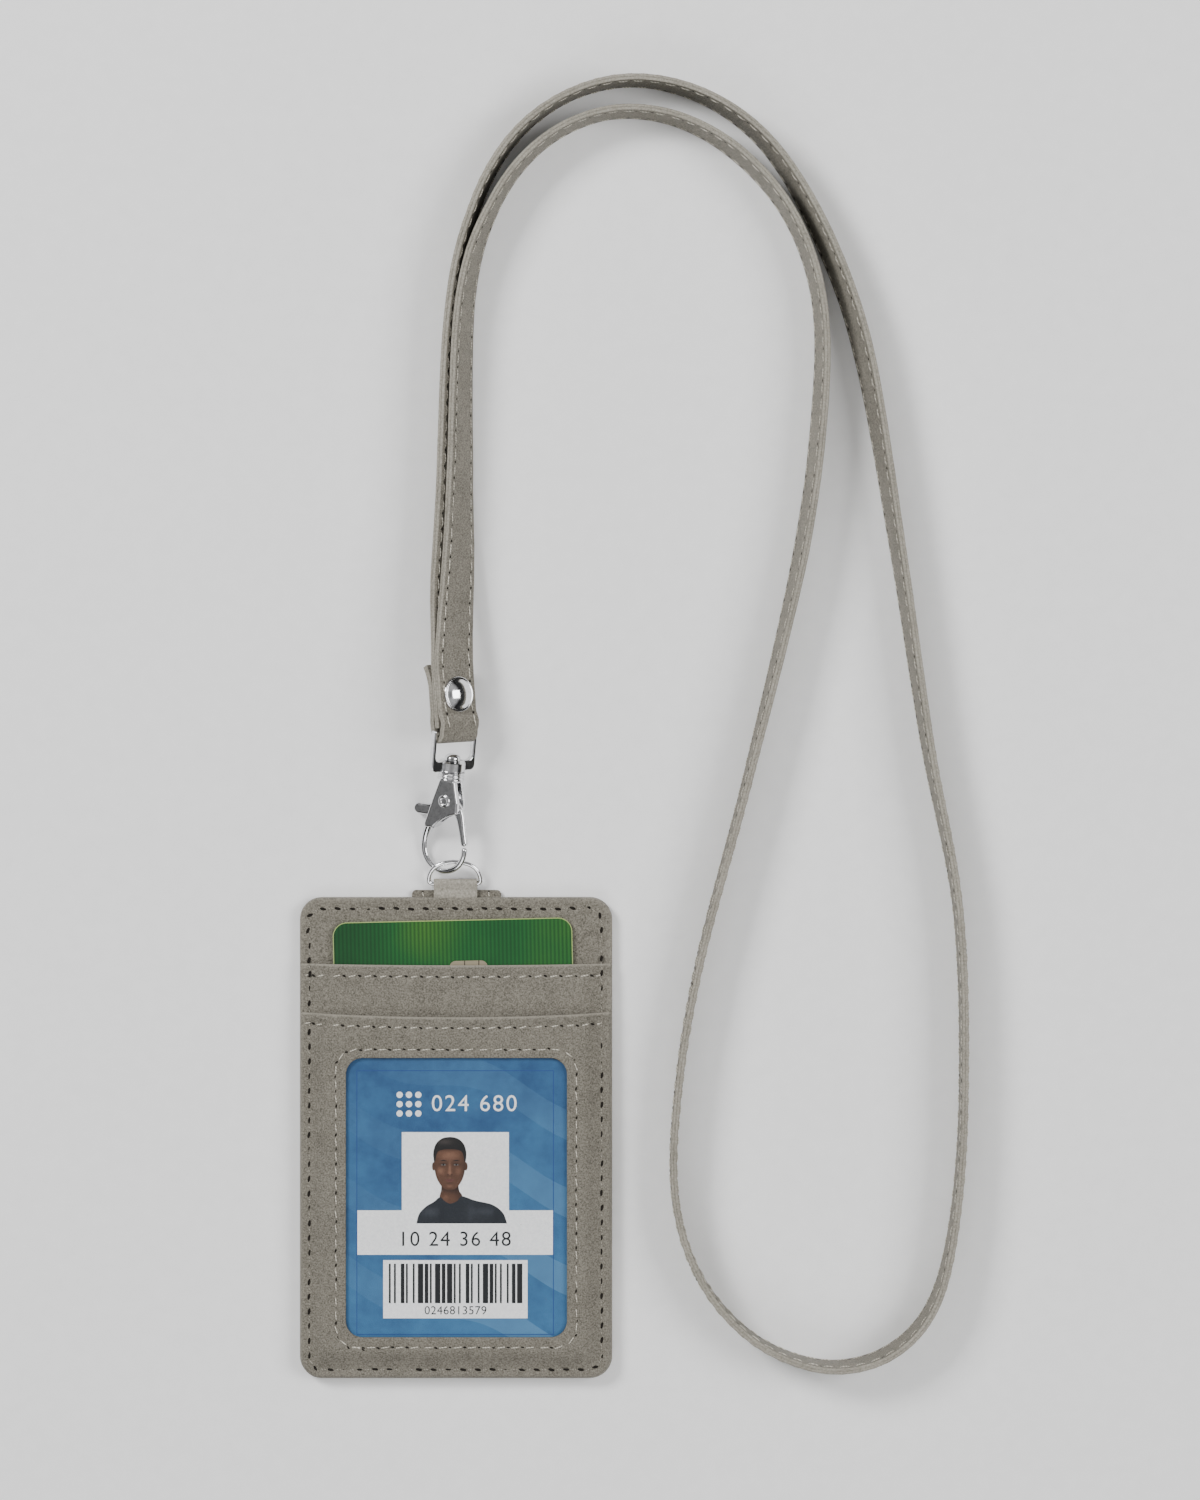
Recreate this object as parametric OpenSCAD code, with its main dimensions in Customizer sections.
// Wallet for an identity badge, worn on a neck strap by a swivelling trigger snap.
// Two open pockets stand one over the other on a stiffened back. The lower pocket has a
// window. A folded tab holds a D-ring, the snap hooks into the ring, and the strap's ends
// are folded and riveted round the bow of the snap.
// Frame: origin at the centre of the back face, +Z to the front, +Y towards the strap.

/* [Wallet] */
// Width across the sides
wallet_w = 70.5; // [69.5:0.5:74]
// Height from the bottom edge to the top edge
wallet_h = 108.6; // [108:0.2:110]
// Radius of the four corners
wallet_r = 5; // [4:0.5:7]
// Thickness of the back skin
back_t = 0.9; // [0.8:0.05:1.2]
// Thickness of each front skin
skin_t = 0.6; // [0.5:0.05:0.7]
// Width of the turned rim round the board
rim_w = 0.7; // [0.6:0.1:1.2]
// Rounding of the outer front edge
edge_roll = 1; // [0.5:0.1:1.2]

/* [Pockets] */
// Height of the upper pocket's mouth over the centre, at the sides
upper_mouth_y = 39.4; // [37:0.2:41]
// Sag of the upper pocket's mouth at its middle
upper_sag = 0.4; // [0.2:0.1:1]
// Height of the window pocket's mouth over the centre, at the sides
window_mouth_y = 28.5; // [27.5:0.1:30]
// Sag of the window pocket's mouth at its middle
window_sag = 1.1; // [0.4:0.1:1.6]
// Width of the window
window_w = 49.7; // [47:0.1:51]
// Height of the window
window_h = 62.8; // [60:0.2:63]
// Height of the window's middle over the centre
window_y = -13.2; // [-13.6:0.1:-12.8]
// Radius of the window's corners
window_r = 3.7; // [2.5:0.1:6]
// Thickness of the clear film
film_t = 0.2; // [0.15:0.05:0.3]
// Lap of the film behind the window's border
film_lap = 3.5; // [2.5:0.1:3.6]

/* [Cards] */
// Width of the hidden card
card_w = 53.98; // [53:0.02:54.5]
// Height of the hidden card
card_h = 85.6; // [85:0.1:86]
// Thickness of the hidden card
card_t = 0.76; // [0.68:0.02:0.84]
// Radius of the hidden card's corners
card_r = 3.18; // [2:0.02:4]
// Turn of the hidden card in its pocket, in degrees
card_turn = 1.3; // [0:0.1:1.5]
// Width of the printed badge
badge_w = 54; // [53:0.5:55]
// Height of the printed badge
badge_h = 74; // [72:0.5:74.5]
// Thickness of the printed badge
badge_t = 0.5; // [0.3:0.05:0.6]
// Play of a card between its two skins, on each face
card_play = 0.08; // [0.06:0.01:0.15]

/* [Hanger] */
// Width of the folded tab
tab_w = 9.8; // [9:0.1:9.8]
// Thickness of one leg of the tab
tab_t = 0.5; // [0.4:0.05:0.55]
// Width of the patch behind the tab
patch_w = 20.2; // [16:0.2:24]
// Height that the patch stands over the wallet's top edge
patch_rise = 1.6; // [1:0.1:1.8]
// Diameter of the ring's wire
ring_wire = 1; // [0.9:0.02:1.04]
// Radius of the ring's flat crown, to the wire's middle
ring_crown_r = 9; // [8.6:0.1:9.4]
// Radius of the ring's two shoulders, to the wire's middle
ring_shoulder_r = 4.2; // [4.1:0.02:4.3]
// Rise of the ring from the face, in degrees
ring_pitch = 24; // [23:0.2:25]

/* [Hook] */
// Diameter of the hook's rod
rod_d = 1.3; // [1.2:0.02:1.36]
// Radius of the hook's round curve, to the rod's middle
hook_r = 5.26; // [5.22:0.01:5.3]
// Thickness of the housing
housing_t = 4.2; // [3.8:0.1:4.6]
// Thickness of the gate
gate_t = 1.5; // [1.3:0.05:1.6]
// Diameter of the ball at the gate's end
ball_d = 1.5; // [1.3:0.05:1.6]
// Diameter of the rivet's heads
rivet_head_d = 2.9; // [2.6:0.1:3.4]
// Diameter of the collar and of the swivel's boss
collar_d = 6.1; // [5.6:0.1:6.6]

/* [Swivel] */
// Width across the bow
bow_w = 12; // [11.9:0.1:13]
// Thickness of the bow's legs across
bow_leg = 0.8; // [0.6:0.05:0.8]
// Diameter of the bow's bar
bar_d = 1.3; // [1.1:0.05:1.3]
// Diameter of the pin's domed head
pin_head_d = 3.5; // [3:0.1:4]

/* [Strap] */
// Width of the strap
strap_w = 10; // [9:0.1:10]
// Thickness of the strap
strap_t = 1.45; // [1.4:0.01:1.5]
// Diameter of the rivet's domed cap
cap_d = 8; // [7:0.1:9]

/* [Hidden] */
$fn = 48;

// Colours of the materials
leather = [0.62, 0.57, 0.52];
lining = [0.45, 0.42, 0.39];
board_grey = [0.5, 0.5, 0.48];
clear_film = [0.85, 0.9, 0.95, 0.35];
card_green = [0.3, 0.6, 0.45];
chip_gold = [0.85, 0.72, 0.4];
badge_blue = [0.35, 0.5, 0.72];
bright_metal = [0.8, 0.8, 0.82];
spring_steel = [0.6, 0.6, 0.62];

// Distance that a cut runs past the face it opens
overrun = 0.2;
// Thickness of the thin plates that a tapered shell is spanned between
span_t = 0.04;
// Play round a part that is laid into a seat
seat_play = 0.05;

// Heights of the layers over the back face
board_t = 2 * tab_t;
z_board = back_t;
z_base = z_board + board_t;
z_pocket = z_base + skin_t;
z_card = z_pocket + card_play;
z_upper_in = z_card + card_t + card_play;
z_upper_top = z_upper_in + skin_t;
z_seat = z_pocket + skin_t;
z_rim = z_seat + skin_t;
z_badge = z_upper_top + card_play;
z_film = z_badge + badge_t + card_play;
z_window_in = z_film + film_t;
z_window_top = z_window_in + skin_t;

// Board and its notch for the tab
board_w = wallet_w - 2 * (rim_w + seat_play);
board_h = wallet_h - 2 * (rim_w + seat_play);
board_r = wallet_r - rim_w;
top_edge = wallet_h / 2;
tab_x = -0.1;
leg_depth = 7.8;
leg_y = top_edge - leg_depth;
notch_y = leg_y - overrun;

// Patch behind the tab, sunk into the back skin
patch_x = 0.1;
patch_depth = 13.3;
patch_y = top_edge - patch_depth;
patch_t = 0.5;
patch_r = 1;

// Half widths and floors of the pockets: cavity and outer shell, each at foot and crown.
// The window's pocket shares out the border that the film leaves free at the window's sides.
upper_cavity_foot = [30.4, -38.2];
upper_cavity_crown = [29.1, -37.4];
upper_shell_foot = [31.2, -39.2];
upper_shell_crown = [29.9, -38.2];
film_side = window_w / 2 + film_lap;
free_border = wallet_w / 2 - film_side;
window_cavity_foot = [film_side + 0.471 * free_border, -50.6];
window_cavity_crown = [film_side + 0.181 * free_border, -49.7];
window_shell_foot = [film_side + 0.587 * free_border, -51.5];
window_shell_crown = [film_side + 0.297 * free_border, -50.5];
pocket_r = 3;
window_x = 0.2;

// Cards: middles and the chip's plate
card_at = [0.17, 6.4];
badge_at = [0, -12.3];
badge_r = 2;
chip_w = 8.6;
chip_h = 11.4;
chip_r = 1.5;
chip_t = 0.2;
chip_at = [3.6, 34.26];

// Fold of the tab round the ring's bar
fold_rise = 3.1;
fold_y = top_edge + fold_rise;
fold_z = z_board + tab_t;
bar_play = 0.05;
fold_r = ring_wire / 2 + bar_play;
throat_y = top_edge + patch_rise + seat_play;
throat_top_y = fold_y - 0.3;

// Ring: middle, height, bends by the bar, shoulders and crown, each meeting the next smoothly
ring_x = -0.3;
ring_top_y = 5.36;
ring_bend_r = 0.8;
ring_crown_angle = 20;
ring_crown_y = ring_top_y - ring_crown_r;
ring_shoulder = [
    (ring_crown_r - ring_shoulder_r) * sin(ring_crown_angle),
    ring_crown_y + (ring_crown_r - ring_shoulder_r) * cos(ring_crown_angle),
];
ring_corner_x = ring_shoulder.x
    + sqrt(pow(ring_shoulder_r - ring_bend_r, 2) - pow(ring_bend_r - ring_shoulder.y, 2));
ring_meet = atan2(ring_bend_r - ring_shoulder.y, ring_corner_x - ring_shoulder.x);

// Snap: place of the hook's round bottom, and turns of the hook and the bow
hook_rise = 3.03;
hook_at = [-2.94, fold_y + hook_rise, 2.5];
hook_yaw = -5.27;
hook_pitch = 11;
hook_roll = -28;
bow_roll = 40;

// Hook: curve, limbs, housing outline and the slot, across and along its axis
hook_mid = [-0.14, 5.09];
tip_y = 5.35;
limb_top = [-3.75, 10.8];
limb_low = [-5.15, 7];
limb_t = 3.2;
housing_outline = [
    [-1.7, 21], [-3.2, 16], [-4.75, 10.4], [-4.6, 9.5], [-2, 8.9],
    [3.4, 13.2], [3.3, 16.2], [2.1, 21],
];
bevel = 0.4;
arch_mid = [6.34, 3.09];
arch_r = 11;
slot_play = 0.1;
slot_outline = [
    [-9, 11.3], [-9, 16.9], [-2.5, 17.6], [-1.2, 18.8], [-0.2, 20.3],
    [9, 20.3], [9, 4], [-0.75, 11.3],
];

// Gate: pivot, hub, arm and lever
pivot = [0, 16.16];
hub_r = 2.3;
shoulder = [2.9, 14.24];
shoulder_w = 2.6;
arm_w = 1.45;
ball_at = [4.95, 7.12];
lever_root = [-4.2, 13.4];
lever_root_w = 2.6;
lever_end = [-7.38, 13.1];
lever_w = 2.5;
relief_r = 1.78;
relief_depth = 1;
leg_notch = [0.3, 1.7];
pivot_play = 0.05;

// Rivet of the gate
shank_d = 2;
rivet_bore_d = 1.3;
rivet_head_t = 0.35;

// Torsion spring round the rivet
wire_d = 0.28;
coil_r = 1.4;
coil_turns = 2.25;
coil_pitch = 0.31;
coil_low = -0.05;
coil_leg = 4;
coil_steps = 8;
coil_sides = 6;

// Collar, boss, pin and bow along the hook's axis
collar_low = 20.9;
collar_high = 22.88;
groove_depth = 0.22;
groove_w = 0.4;
boss_low = collar_high + 0.06;
boss_high = 25.25;
pin_d = 2;
pin_low = 21.4;
pin_play = 0.06;
head_low = boss_high + pin_play;
head_rim = 0.5;
head_rise = 1.1;
bar_y = 31.7;
bow_depth = 1.4;
bow_corner_r = 1.5;
bow_inner_r = 1;

// Fold of the strap round the bow's bar, and its rivet
fold_turn = -14.24;
fold_bore_r = strap_t / 2;
fold_outer_r = 1.5 * strap_t;
layer_start = 1.2;
front_end = 16;
middle_end = 14.5;
rear_end = 13.5;
strap_rivet_y = 8.5;
post_d = 3;
cap_rim = 0.5;
cap_rise = 1.2;
cap_socket_d = 1.8;
cap_socket_depth = 0.9;
flange_d = 7.4;
flange_t = 0.6;

// Strap: chamfer of its edges and the lie of its loop on the surface below.
// Each row is across, up from the wallet's top edge, and the lift over rest.
strap_chamfer = 0.3;
ROUTE = [
    [0, 61.7, 4.6], [0.7, 76.7, 2], [1, 95.7, 0.4], [2.2, 134.7, 0], [8.5, 155.7, 0],
    [18.9, 169.3, 0], [33.1, 176.3, 0], [48.6, 175.5, 0], [63.3, 167.6, 0], [75, 154, 0],
    [81.5, 136.2, 0], [82.2, 113.1, 0], [77.7, 77.6, 0], [65.7, 26.6, 0], [54.9, -14.7, 0],
    [50, -44.3, 0], [49.5, -68.1, 0], [55.4, -86.3, 0], [67.5, -99.6, 0], [83, -105.5, 0],
    [97.1, -102.7, 0], [107.2, -92.1, 0], [112.2, -73.3, 0], [114.3, -43.8, 0],
    [113.1, -3.3, 0], [106, 35.6, 0], [99.5, 78.7, 0], [92, 122, 0], [83.3, 147.6, 0],
    [71.9, 167.5, 0], [58.3, 179, 0], [41.9, 183.8, 0], [26.2, 180.8, 0], [13, 170.9, 0],
    [4.1, 154.6, 0], [-0.3, 131.7, 0], [-1.4, 88.7, 0.7], [-1.8, 69.7, 2.6],
];
// Lean of the strap from upright at each row, to the left of its travel, in degrees
LEAN = [
    46, 38, 28, 18, 8.2, 5.1, 4, 6.3, 9.4, 9.5, 9.9, 12.6, 12.1, 3.9, 0.9, 0, 0, 0,
    -1.5, -4.3, -6.2, -4.6, -1.3, 0, -1.3, -6.7, -11.1, -17.8, -17.3, -11.8, -7.3, -3.2,
    -1.7, -3.7, -6, -17, -31, -42,
];
start_lean = 50;

// Turning matrices, used where the strap's ends must meet its fold face to face
function turn_x(a) = [[1, 0, 0], [0, cos(a), -sin(a)], [0, sin(a), cos(a)]];
function turn_y(a) = [[cos(a), 0, sin(a)], [0, 1, 0], [-sin(a), 0, cos(a)]];
function turn_z(a) = [[cos(a), -sin(a), 0], [sin(a), cos(a), 0], [0, 0, 1]];
bow_m = turn_z(hook_yaw) * turn_x(hook_pitch) * turn_y(bow_roll);
fold_m = bow_m * turn_x(fold_turn);
bar_at = hook_at + bow_m * [0, bar_y, 0];
start_at = bar_at + fold_m * [0, front_end, strap_t];
finish_at = bar_at + fold_m * [0, middle_end, 0];

// Height of the strap's middle when its lower edge rests on the surface
half_w = strap_w / 2;
half_t = strap_t / 2;
function rest_z(lean) = max(
    half_w * cos(lean) + (half_t - strap_chamfer) * abs(sin(lean)),
    (half_w - strap_chamfer) * cos(lean) + half_t * abs(sin(lean))
);

// Stations of the strap: the rows with both ends, and one more between each two
function lifted(at, lean) = [at.x, at.y, at.z - rest_z(lean)];
route = [for (row = ROUTE) [row.x, row.y + top_edge, row.z]];
knots = concat([lifted(start_at, start_lean)], route, [lifted(finish_at, -start_lean)]);
leans = concat([start_lean], LEAN, [-start_lean]);
last = len(knots) - 1;
function knot(i) = knots[max(0, min(last, i))];
function between(i) = (9 * (knot(i) + knot(i + 1)) - knot(i - 1) - knot(i + 2)) / 16;
dense = [
    for (i = [0 : last], half = [0 : i < last ? 1 : 0])
        half == 0 ? knot(i) : between(i)
];
dense_leans = [
    for (i = [0 : last], half = [0 : i < last ? 1 : 0])
        half == 0 ? leans[i] : (leans[i] + leans[i + 1]) / 2
];
final = len(dense) - 1;
function station(i) = [dense[i].x, dense[i].y, dense[i].z + rest_z(dense_leans[i])];

function unit(v) = v / norm(v);
function travel(i) =
    i == 0 ? fold_m * [0, 1, 0]
    : i == final ? fold_m * [0, -1, 0]
    : unit(station(i + 1) - station(i - 1));
function width_way(i) =
    i == 0 || i == final ? fold_m * [-1, 0, 0]
    : let (t = travel(i), left = unit([-t.y, t.x, 0]))
        [0, 0, cos(dense_leans[i])] + sin(dense_leans[i]) * left;
section = [
    [half_w, half_t - strap_chamfer], [half_w - strap_chamfer, half_t],
    [strap_chamfer - half_w, half_t], [-half_w, half_t - strap_chamfer],
    [-half_w, strap_chamfer - half_t], [strap_chamfer - half_w, -half_t],
    [half_w - strap_chamfer, -half_t], [half_w, strap_chamfer - half_t],
];
function ring_points(i) =
    let (w = width_way(i), n = unit(cross(travel(i), w)))
        [for (p = section) station(i) + p.x * w + p.y * n];

// Closed skin over rings of equal size, with flat ends
module skin(rings) {
    n = len(rings[0]);
    count = len(rings);
    points = [for (ring = rings, p = ring) p];
    sides = [
        for (i = [0 : count - 2], j = [0 : n - 1], half = [0, 1])
            let (a = i * n + j, b = i * n + (j + 1) % n)
                half == 0 ? [a, b, b + n] : [a, b + n, a + n]
    ];
    first_end = [for (j = [n - 1 : -1 : 0]) j];
    last_end = [for (j = [0 : n - 1]) (count - 1) * n + j];
    polyhedron(points, concat([first_end], sides, [last_end]), convexity = 10);
}

// Rectangle with round corners about the middle
module rounded(w, h, r) {
    square([w - 2 * r, h], center = true);
    square([w, h - 2 * r], center = true);
    for (x = [-1, 1], y = [-1, 1])
        translate([x * (w / 2 - r), y * (h / 2 - r)])
            circle(r);
}

// Rounded plate from one height to another
module plate(w, h, r, low, high) {
    translate([0, 0, low])
        linear_extrude(high - low)
            rounded(w, h, r);
}

// Flat link with round ends between two points
module link(a, b, w) {
    d = b - a;
    translate(a)
        rotate(atan2(d.y, d.x)) {
            translate([0, -w / 2])
                square([norm(d), w]);
            circle(w / 2);
            translate([norm(d), 0])
                circle(w / 2);
        }
}

// Round rod between two points
module rod(a, b, r) {
    d = b - a;
    translate(a)
        rotate([0, acos(d.z / norm(d)), atan2(d.y, d.x)])
            cylinder(h = norm(d), r = r);
}

// Part of a round ring in the flat, from one angle over a sweep
module bend(mid, bend_radius, wire_r, from, sweep) {
    translate([mid.x, mid.y, 0])
        rotate(from)
            rotate_extrude(angle = sweep)
                translate([bend_radius, 0])
                    circle(wire_r, $fn = 24);
}

// Cylinder along the hook's axis
module axial(low, high, r) {
    translate([0, low, 0])
        rotate([-90, 0, 0])
            cylinder(h = high - low, r = r);
}

// Inset of the wallet's outline at a height of its rolled edge
function roll_in(z) =
    edge_roll * (1 - sqrt(max(0, 1 - pow((z - z_board) / (z_rim - z_board), 2))));

// One layer of the wallet with the rolled edge
module rolled_layer(low, high) {
    hull() {
        plate(wallet_w - 2 * roll_in(low), wallet_h - 2 * roll_in(low), wallet_r, low, low + span_t);
        plate(wallet_w - 2 * roll_in(high), wallet_h - 2 * roll_in(high), wallet_r,
            high - span_t, high);
    }
}

// Raised field of a pocket, wider at its foot than at its crown, and open at the top
module field(foot, crown, low, high) {
    top_y = wallet_h / 2;
    hull() {
        translate([0, (foot.y + top_y) / 2, 0])
            plate(2 * foot.x, top_y - foot.y, pocket_r, low, low + span_t);
        translate([0, (crown.y + top_y) / 2, 0])
            plate(2 * crown.x, top_y - crown.y, pocket_r, high - span_t, high);
    }
}

// All that lies over a pocket's sagging mouth
module over_mouth(mouth_y, sag, low, high) {
    reach = wallet_w / 2 + overrun;
    steps = 16;
    translate([0, 0, low])
        linear_extrude(high - low)
            polygon(concat(
                [for (i = [-steps : steps])
                    [reach * i / steps, mouth_y - sag * (1 - pow(i / steps, 2))]],
                [[reach, wallet_h / 2 + overrun], [-reach, wallet_h / 2 + overrun]]
            ));
}

module at_ring() {
    translate([ring_x, fold_y, fold_z])
        rotate([ring_pitch, 0, 0])
            children();
}

module at_snap(roll) {
    translate(hook_at)
        rotate([0, 0, hook_yaw])
            rotate([hook_pitch, 0, 0])
                rotate([0, roll, 0])
                    children();
}

module at_fold() {
    at_snap(bow_roll)
        translate([0, bar_y, 0])
            rotate([fold_turn, 0, 0])
                children();
}

// Back skin with the sunk field for the patch
module back_panel() {
    color(leather)
        difference() {
            plate(wallet_w, wallet_h, wallet_r, 0, back_t);
            translate([patch_x - patch_w / 2 - seat_play, patch_y - seat_play, back_t - patch_t])
                cube([patch_w + 2 * seat_play, wallet_h, patch_t + overrun]);
        }
}

// Board that keeps the wallet flat, with a notch for the tab's legs
module stiffener_board() {
    color(board_grey)
        difference() {
            plate(board_w, board_h, board_r, z_board, z_base);
            translate([tab_x - tab_w / 2 - seat_play, notch_y, z_board - overrun])
                cube([tab_w + 2 * seat_play, wallet_h, board_t + 2 * overrun]);
        }
}

// Front base skin, turned down round the board
module base_panel() {
    color(leather)
        difference() {
            rolled_layer(z_board, z_pocket);
            plate(board_w + 2 * seat_play, board_h + 2 * seat_play, board_r + seat_play,
                z_board - overrun, z_base);
            translate([tab_x - tab_w / 2 - seat_play, notch_y, z_board - overrun])
                cube([tab_w + 2 * seat_play, wallet_h, board_t + overrun]);
        }
}

// Skin of the upper pocket, raised over the hidden card
module upper_pocket_panel() {
    color(leather)
        difference() {
            union() {
                rolled_layer(z_pocket, z_seat);
                field(upper_shell_foot, upper_shell_crown, z_seat - span_t, z_upper_top);
            }
            field(upper_cavity_foot, upper_cavity_crown, z_pocket - overrun, z_upper_in);
            over_mouth(upper_mouth_y, upper_sag, z_pocket - overrun, z_upper_top + overrun);
        }
}

// Skin of the front pocket, raised over the badge, with the window
module window_panel() {
    color(leather)
        difference() {
            union() {
                rolled_layer(z_seat, z_rim);
                field(window_shell_foot, window_shell_crown, z_rim - span_t, z_window_top);
            }
            field(window_cavity_foot, window_cavity_crown, z_seat - overrun, z_window_in);
            over_mouth(window_mouth_y, window_sag, z_seat - overrun, z_window_top + overrun);
            translate([window_x, window_y, 0])
                plate(window_w, window_h, window_r, z_seat, z_window_top + overrun);
        }
}

// Clear film glued behind the window's border
module window_film() {
    color(clear_film)
        translate([window_x, window_y, 0])
            plate(window_w + 2 * film_lap, window_h + 2 * film_lap, window_r, z_film, z_window_in);
}

module card_place() {
    translate([card_at.x, card_at.y, z_card])
        rotate(card_turn)
            children();
}

// Plate of the chip, in the card's own frame
module chip_plate(play, low, high) {
    translate([chip_at.x - card_at.x, chip_at.y - card_at.y, 0])
        plate(chip_w + 2 * play, chip_h + 2 * play, chip_r + play, low, high);
}

// Hidden card of the upper pocket, with a seat for the chip
module payment_card() {
    color(card_green)
        card_place()
            difference() {
                plate(card_w, card_h, card_r, 0, card_t);
                chip_plate(seat_play, card_t - chip_t, card_t + overrun);
            }
}

module contact_chip() {
    color(chip_gold)
        card_place()
            chip_plate(0, card_t - chip_t, card_t);
}

// Printed badge behind the window
module badge_card() {
    color(badge_blue)
        translate([badge_at.x, badge_at.y, 0])
            plate(badge_w, badge_h, badge_r, z_badge, z_badge + badge_t);
}

// Patch that backs the tab and stands over the top edge
module hanger_patch() {
    color(leather)
        translate([patch_x, (patch_y + wallet_h / 2 + patch_rise) / 2, 0])
            plate(patch_w, wallet_h / 2 + patch_rise - patch_y, patch_r, back_t - patch_t, back_t);
}

// Tab folded round the ring's bar, with both legs in the notch
module hanger_tab() {
    color(leather)
        translate([tab_x - tab_w / 2, 0, 0])
            rotate([90, 0, 90])
                linear_extrude(tab_w)
                    difference() {
                        union() {
                            translate([leg_y, z_board])
                                square([throat_y - leg_y, 2 * tab_t]);
                            polygon([
                                [throat_y, z_board],
                                [throat_top_y, fold_z - fold_r - tab_t * 0.9],
                                [throat_top_y, fold_z + fold_r + tab_t * 0.9],
                                [throat_y, z_board + 2 * tab_t],
                            ]);
                            translate([fold_y, fold_z])
                                circle(fold_r + tab_t);
                        }
                        translate([fold_y, fold_z])
                            circle(fold_r);
                    }
}

// Points on the ring's wire past the bar: a tight bend, a shoulder, the crown, and back
function ring_point(mid, bend_radius, a) =
    [mid.x + bend_radius * cos(a), mid.y + bend_radius * sin(a), a];
ring_steps = 6;
shoulder_steps = 8;
ring_half = concat(
    [for (i = [0 : ring_steps - 1])
        ring_point([ring_corner_x, ring_bend_r], ring_bend_r,
            -90 + (90 + ring_meet) * i / ring_steps)],
    [for (i = [0 : shoulder_steps])
        ring_point(ring_shoulder, ring_shoulder_r,
            ring_meet + (90 - ring_crown_angle - ring_meet) * i / shoulder_steps)],
    [for (i = [1 : ring_steps])
        ring_point([0, ring_crown_y], ring_crown_r,
            90 - ring_crown_angle + ring_crown_angle * i / ring_steps)]
);
ring_path = concat(
    ring_half,
    [for (i = [len(ring_half) - 2 : -1 : 0])
        let (at = ring_half[i]) [-at.x, at.y, 180 - at.z]]
);
ring_sides = 16;
function wire_ring(at, wire_r) = [
    for (k = [0 : ring_sides - 1])
        let (b = 360 * k / ring_sides)
            [at.x + wire_r * cos(b) * cos(at.z), at.y + wire_r * cos(b) * sin(at.z),
                wire_r * sin(b)]
];

// Closed ring of round wire: a straight bar, two tight bends and one wide arc
module d_ring() {
    color(bright_metal)
        at_ring() {
            rod([-ring_corner_x, 0, 0], [ring_corner_x, 0, 0], ring_wire / 2);
            skin([for (at = ring_path) wire_ring(at, ring_wire / 2)]);
        }
}

// Housing of the snap: a bevelled wedge, hollowed by the arch of the eye and by the slot
module housing() {
    difference() {
        hull() {
            translate([0, 0, bevel - housing_t / 2])
                linear_extrude(housing_t - 2 * bevel)
                    polygon(housing_outline);
            translate([0, 0, -housing_t / 2])
                linear_extrude(housing_t)
                    offset(delta = -bevel)
                        polygon(housing_outline);
        }
        translate([arch_mid.x, arch_mid.y, -housing_t])
            cylinder(h = 2 * housing_t, r = arch_r, $fn = 96);
        translate([0, 0, -gate_t / 2 - slot_play])
            linear_extrude(gate_t + 2 * slot_play)
                polygon(slot_outline);
        translate([pivot.x, pivot.y, -housing_t])
            cylinder(h = 2 * housing_t, d = shank_d);
    }
}

// Left limb, swelling from the round rod into the housing
module limb() {
    rod_r = rod_d / 2;
    hull() {
        translate([hook_mid.x - hook_r, hook_mid.y, 0])
            rotate([-90, 0, 0])
                cylinder(h = span_t, r = rod_r, $fn = 24);
        translate([limb_low.x, limb_low.y, 0])
            sphere(rod_r, $fn = 24);
        for (z = [-1, 1])
            translate([limb_top.x, limb_top.y, z * (limb_t / 2 - rod_r)])
                sphere(rod_r, $fn = 24);
    }
}

// Collar with two turned grooves
module collar() {
    r = collar_d / 2;
    len_y = collar_high - collar_low;
    translate([0, collar_low, 0])
        rotate([-90, 0, 0])
            rotate_extrude()
                polygon([
                    [0, 0], [r - groove_depth, 0], [r, groove_depth],
                    [r, len_y / 3 - groove_w / 2], [r - groove_depth, len_y / 3],
                    [r, len_y / 3 + groove_w / 2], [r, 2 * len_y / 3 - groove_w / 2],
                    [r - groove_depth, 2 * len_y / 3], [r, 2 * len_y / 3 + groove_w / 2],
                    [r, len_y - groove_depth], [r - groove_depth, len_y], [0, len_y],
                ]);
}

// Body of the trigger snap: housing, limb, round hook with its tip, and collar
module hook_body() {
    color(bright_metal)
        at_snap(hook_roll) {
            rod_r = rod_d / 2;
            right_x = hook_mid.x + hook_r;
            difference() {
                union() {
                    housing();
                    limb();
                    collar();
                }
                axial(pin_low, collar_high + overrun, pin_d / 2);
            }
            bend(hook_mid, hook_r, rod_r, 180, 180);
            rod([right_x, hook_mid.y, 0], [right_x, tip_y, 0], rod_r);
            translate([right_x, tip_y, 0])
                sphere(rod_r);
        }
}

// Gate: hub, arm with a ball at its end, and the thumb lever
module hook_gate() {
    color(bright_metal)
        at_snap(hook_roll) {
            difference() {
                translate([0, 0, -gate_t / 2])
                    linear_extrude(gate_t) {
                        translate(pivot)
                            circle(hub_r);
                        link(pivot, shoulder, shoulder_w);
                        link(shoulder, ball_at, arm_w);
                        link(pivot, lever_root, lever_root_w);
                        link(lever_root, lever_end, lever_w);
                    }
                translate([pivot.x, pivot.y, -gate_t])
                    cylinder(h = 2 * gate_t, d = shank_d + 2 * pivot_play);
                translate([pivot.x, pivot.y, gate_t / 2 - relief_depth])
                    cylinder(h = gate_t, r = relief_r);
                translate([pivot.x + leg_notch[0], pivot.y, gate_t / 2 - relief_depth])
                    cube([leg_notch[1] - leg_notch[0], hub_r + overrun, gate_t]);
            }
            translate([ball_at.x, ball_at.y, 0])
                sphere(d = ball_d);
        }
}

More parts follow.
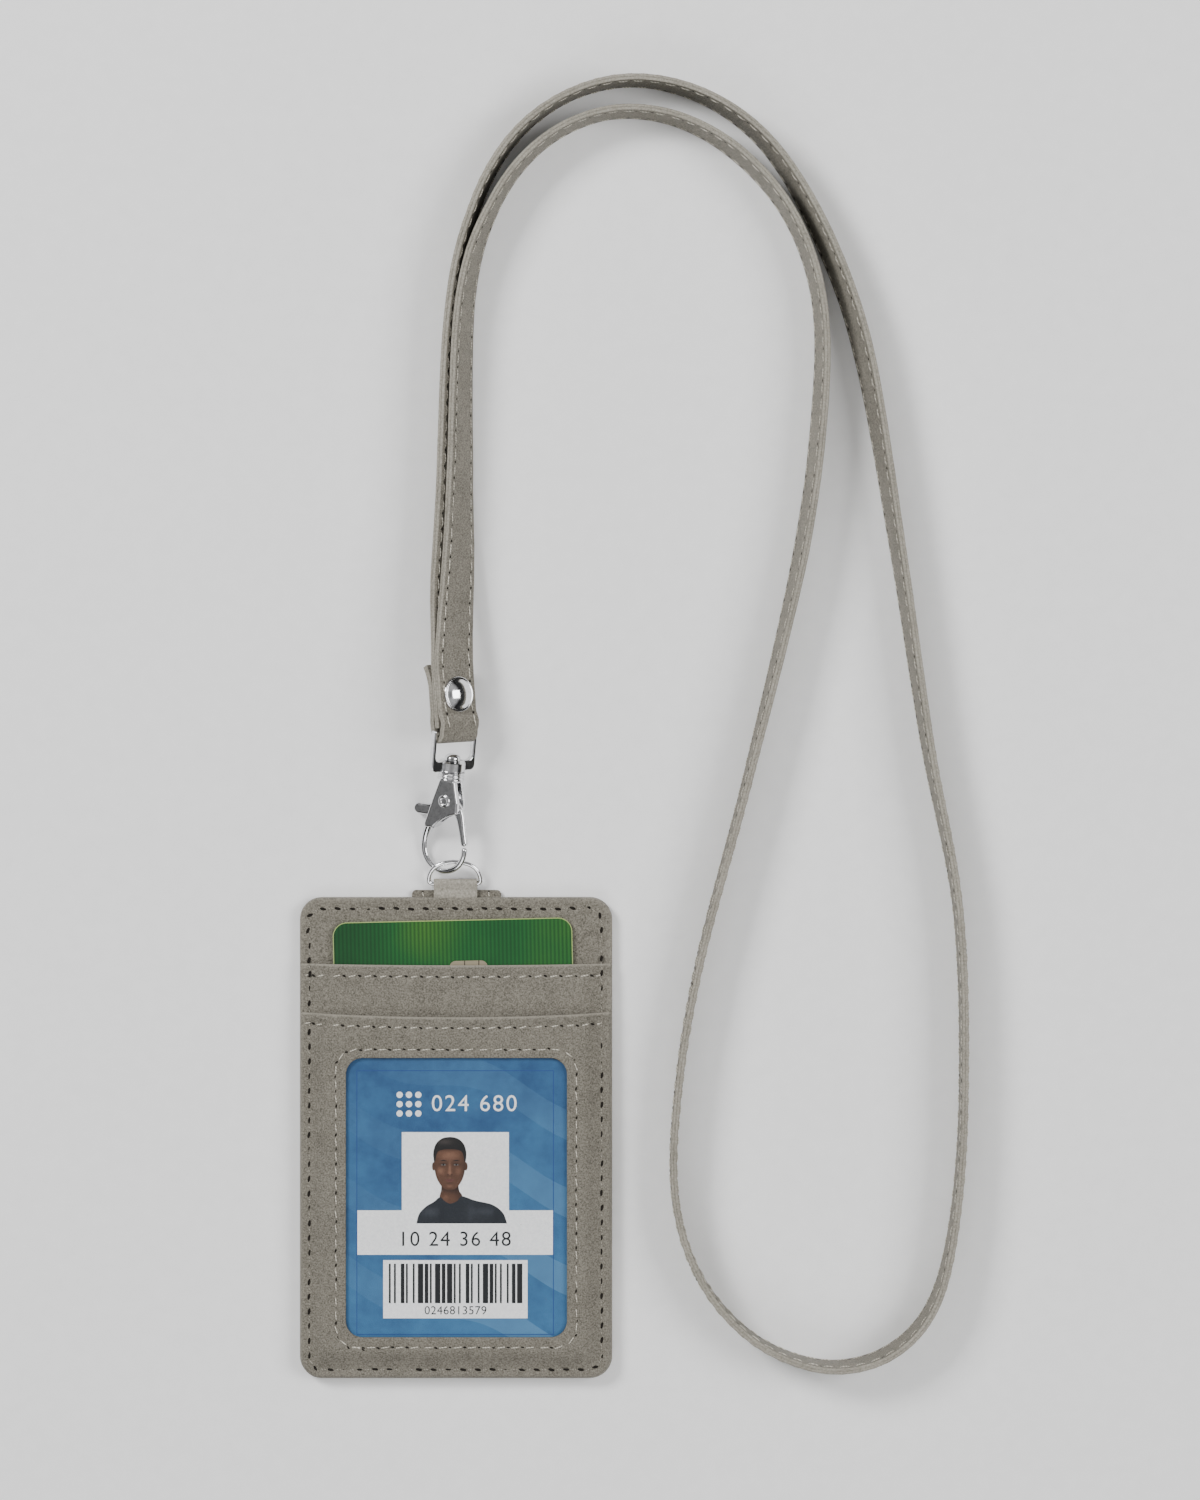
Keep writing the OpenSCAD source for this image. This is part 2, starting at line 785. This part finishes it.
// Hollow rivet with two flat heads
module gate_rivet() {
    color(bright_metal)
        at_snap(hook_roll)
            translate([pivot.x, pivot.y, 0])
                difference() {
                    union() {
                        cylinder(h = housing_t, d = shank_d, center = true);
                        for (z = [-housing_t / 2 - rivet_head_t, housing_t / 2])
                            translate([0, 0, z])
                                cylinder(h = rivet_head_t, d = rivet_head_d);
                    }
                    cylinder(h = housing_t + 4 * rivet_head_t, d = rivet_bore_d, center = true);
                }
}

// Torsion spring in the gate's relief, with one leg up against the housing
function coil_middle(t) = [
    coil_r * cos(360 * t), coil_r * sin(360 * t), coil_low + coil_pitch * t
];
function coil_ring(t) = [
    for (k = [0 : coil_sides - 1])
        let (a = 360 * k / coil_sides, reach = coil_r + wire_d / 2 * cos(a))
            [reach * cos(360 * t), reach * sin(360 * t),
                coil_low + coil_pitch * t + wire_d / 2 * sin(a)]
];
module gate_spring() {
    steps = floor(coil_turns * coil_steps);
    top = coil_middle(coil_turns);
    leg = [
        for (k = [0 : coil_sides - 1])
            let (a = 360 * k / coil_sides)
                [-coil_leg, coil_r + wire_d / 2 * cos(a), top.z + wire_d / 2 * sin(a)]
    ];
    color(spring_steel)
        at_snap(hook_roll)
            translate([pivot.x, pivot.y, 0])
                rotate(-90)
                    skin(concat([for (i = [0 : steps]) coil_ring(i / coil_steps)], [leg]));
}

// Headed pin that the bow turns on
module swivel_pin() {
    color(bright_metal)
        at_snap(hook_roll) {
            axial(pin_low, head_low, pin_d / 2);
            steps = 8;
            translate([0, head_low, 0])
                rotate([-90, 0, 0])
                    rotate_extrude()
                        polygon(concat(
                            [[0, 0], [pin_head_d / 2, 0]],
                            [for (i = [0 : steps])
                                [pin_head_d / 2 * cos(90 * i / steps),
                                    head_rim + head_rise * sin(90 * i / steps)]]
                        ));
        }
}

// Bow: boss with its bore, lower bar, two legs and the round bar for the strap
module swivel_bow() {
    top_y = bar_y + bar_d / 2;
    inner_w = bow_w - 2 * bow_leg;
    color(bright_metal)
        at_snap(bow_roll) {
            difference() {
                union() {
                    axial(boss_low, boss_high, collar_d / 2);
                    translate([0, 0, -bow_depth / 2])
                        linear_extrude(bow_depth)
                            difference() {
                                translate([0, (boss_low + top_y) / 2])
                                    rounded(bow_w, top_y - boss_low, bow_corner_r);
                                translate([0, boss_high + (top_y - boss_high)])
                                    rounded(inner_w, 2 * (top_y - boss_high), bow_inner_r);
                            }
                }
                axial(boss_low - overrun, boss_high + overrun, pin_d / 2 + pin_play);
            }
            rod([-inner_w / 2 - bow_leg / 3, bar_y, 0], [inner_w / 2 + bow_leg / 3, bar_y, 0], bar_d / 2);
        }
}

// Free loop of the strap, standing on its edge
module strap() {
    color(leather)
        skin([for (i = [0 : final]) ring_points(i)]);
}

// Folded end round the bow's bar: front, middle and rear layers
module strap_fold() {
    color(leather)
        at_fold()
            difference() {
                translate([-strap_w / 2, 0, 0])
                    rotate([90, 0, 90])
                        linear_extrude(strap_w)
                            difference() {
                                union() {
                                    circle(fold_outer_r);
                                    translate([0, fold_bore_r])
                                        square([front_end, strap_t]);
                                    translate([layer_start, -fold_bore_r])
                                        square([middle_end - layer_start, strap_t]);
                                    translate([0, -fold_outer_r])
                                        square([rear_end, strap_t]);
                                }
                                difference() {
                                    union() {
                                        circle(fold_bore_r);
                                        translate([0, -fold_bore_r])
                                            square([layer_start, strap_t]);
                                    }
                                }
                            }
                translate([0, strap_rivet_y, -2 * fold_outer_r])
                    cylinder(h = 4 * fold_outer_r, d = post_d);
            }
}

// Domed cap in front of the layers
module strap_rivet_cap() {
    steps = 10;
    color(bright_metal)
        at_fold()
            translate([0, strap_rivet_y, fold_outer_r])
                rotate_extrude()
                    polygon(concat(
                        [[cap_socket_d / 2, 0], [cap_d / 2, 0]],
                        [for (i = [0 : steps])
                            [cap_d / 2 * cos(90 * i / steps),
                                cap_rim + cap_rise * sin(90 * i / steps)]],
                        [[0, cap_socket_depth], [cap_socket_d / 2, cap_socket_depth]]
                    ));
}

// Post through the layers with its flange behind and its nib in the cap
module strap_rivet_post() {
    color(bright_metal)
        at_fold()
            translate([0, strap_rivet_y, 0]) {
                translate([0, 0, -fold_outer_r - flange_t])
                    cylinder(h = flange_t, d = flange_d);
                translate([0, 0, -fold_outer_r])
                    cylinder(h = 2 * fold_outer_r, d = post_d);
                translate([0, 0, fold_outer_r])
                    cylinder(h = cap_socket_depth, d = cap_socket_d);
            }
}

back_panel();
stiffener_board();
base_panel();
upper_pocket_panel();
window_panel();
window_film();
payment_card();
contact_chip();
badge_card();
hanger_patch();
hanger_tab();
d_ring();
hook_body();
hook_gate();
gate_rivet();
gate_spring();
swivel_pin();
swivel_bow();
strap();
strap_fold();
strap_rivet_cap();
strap_rivet_post();
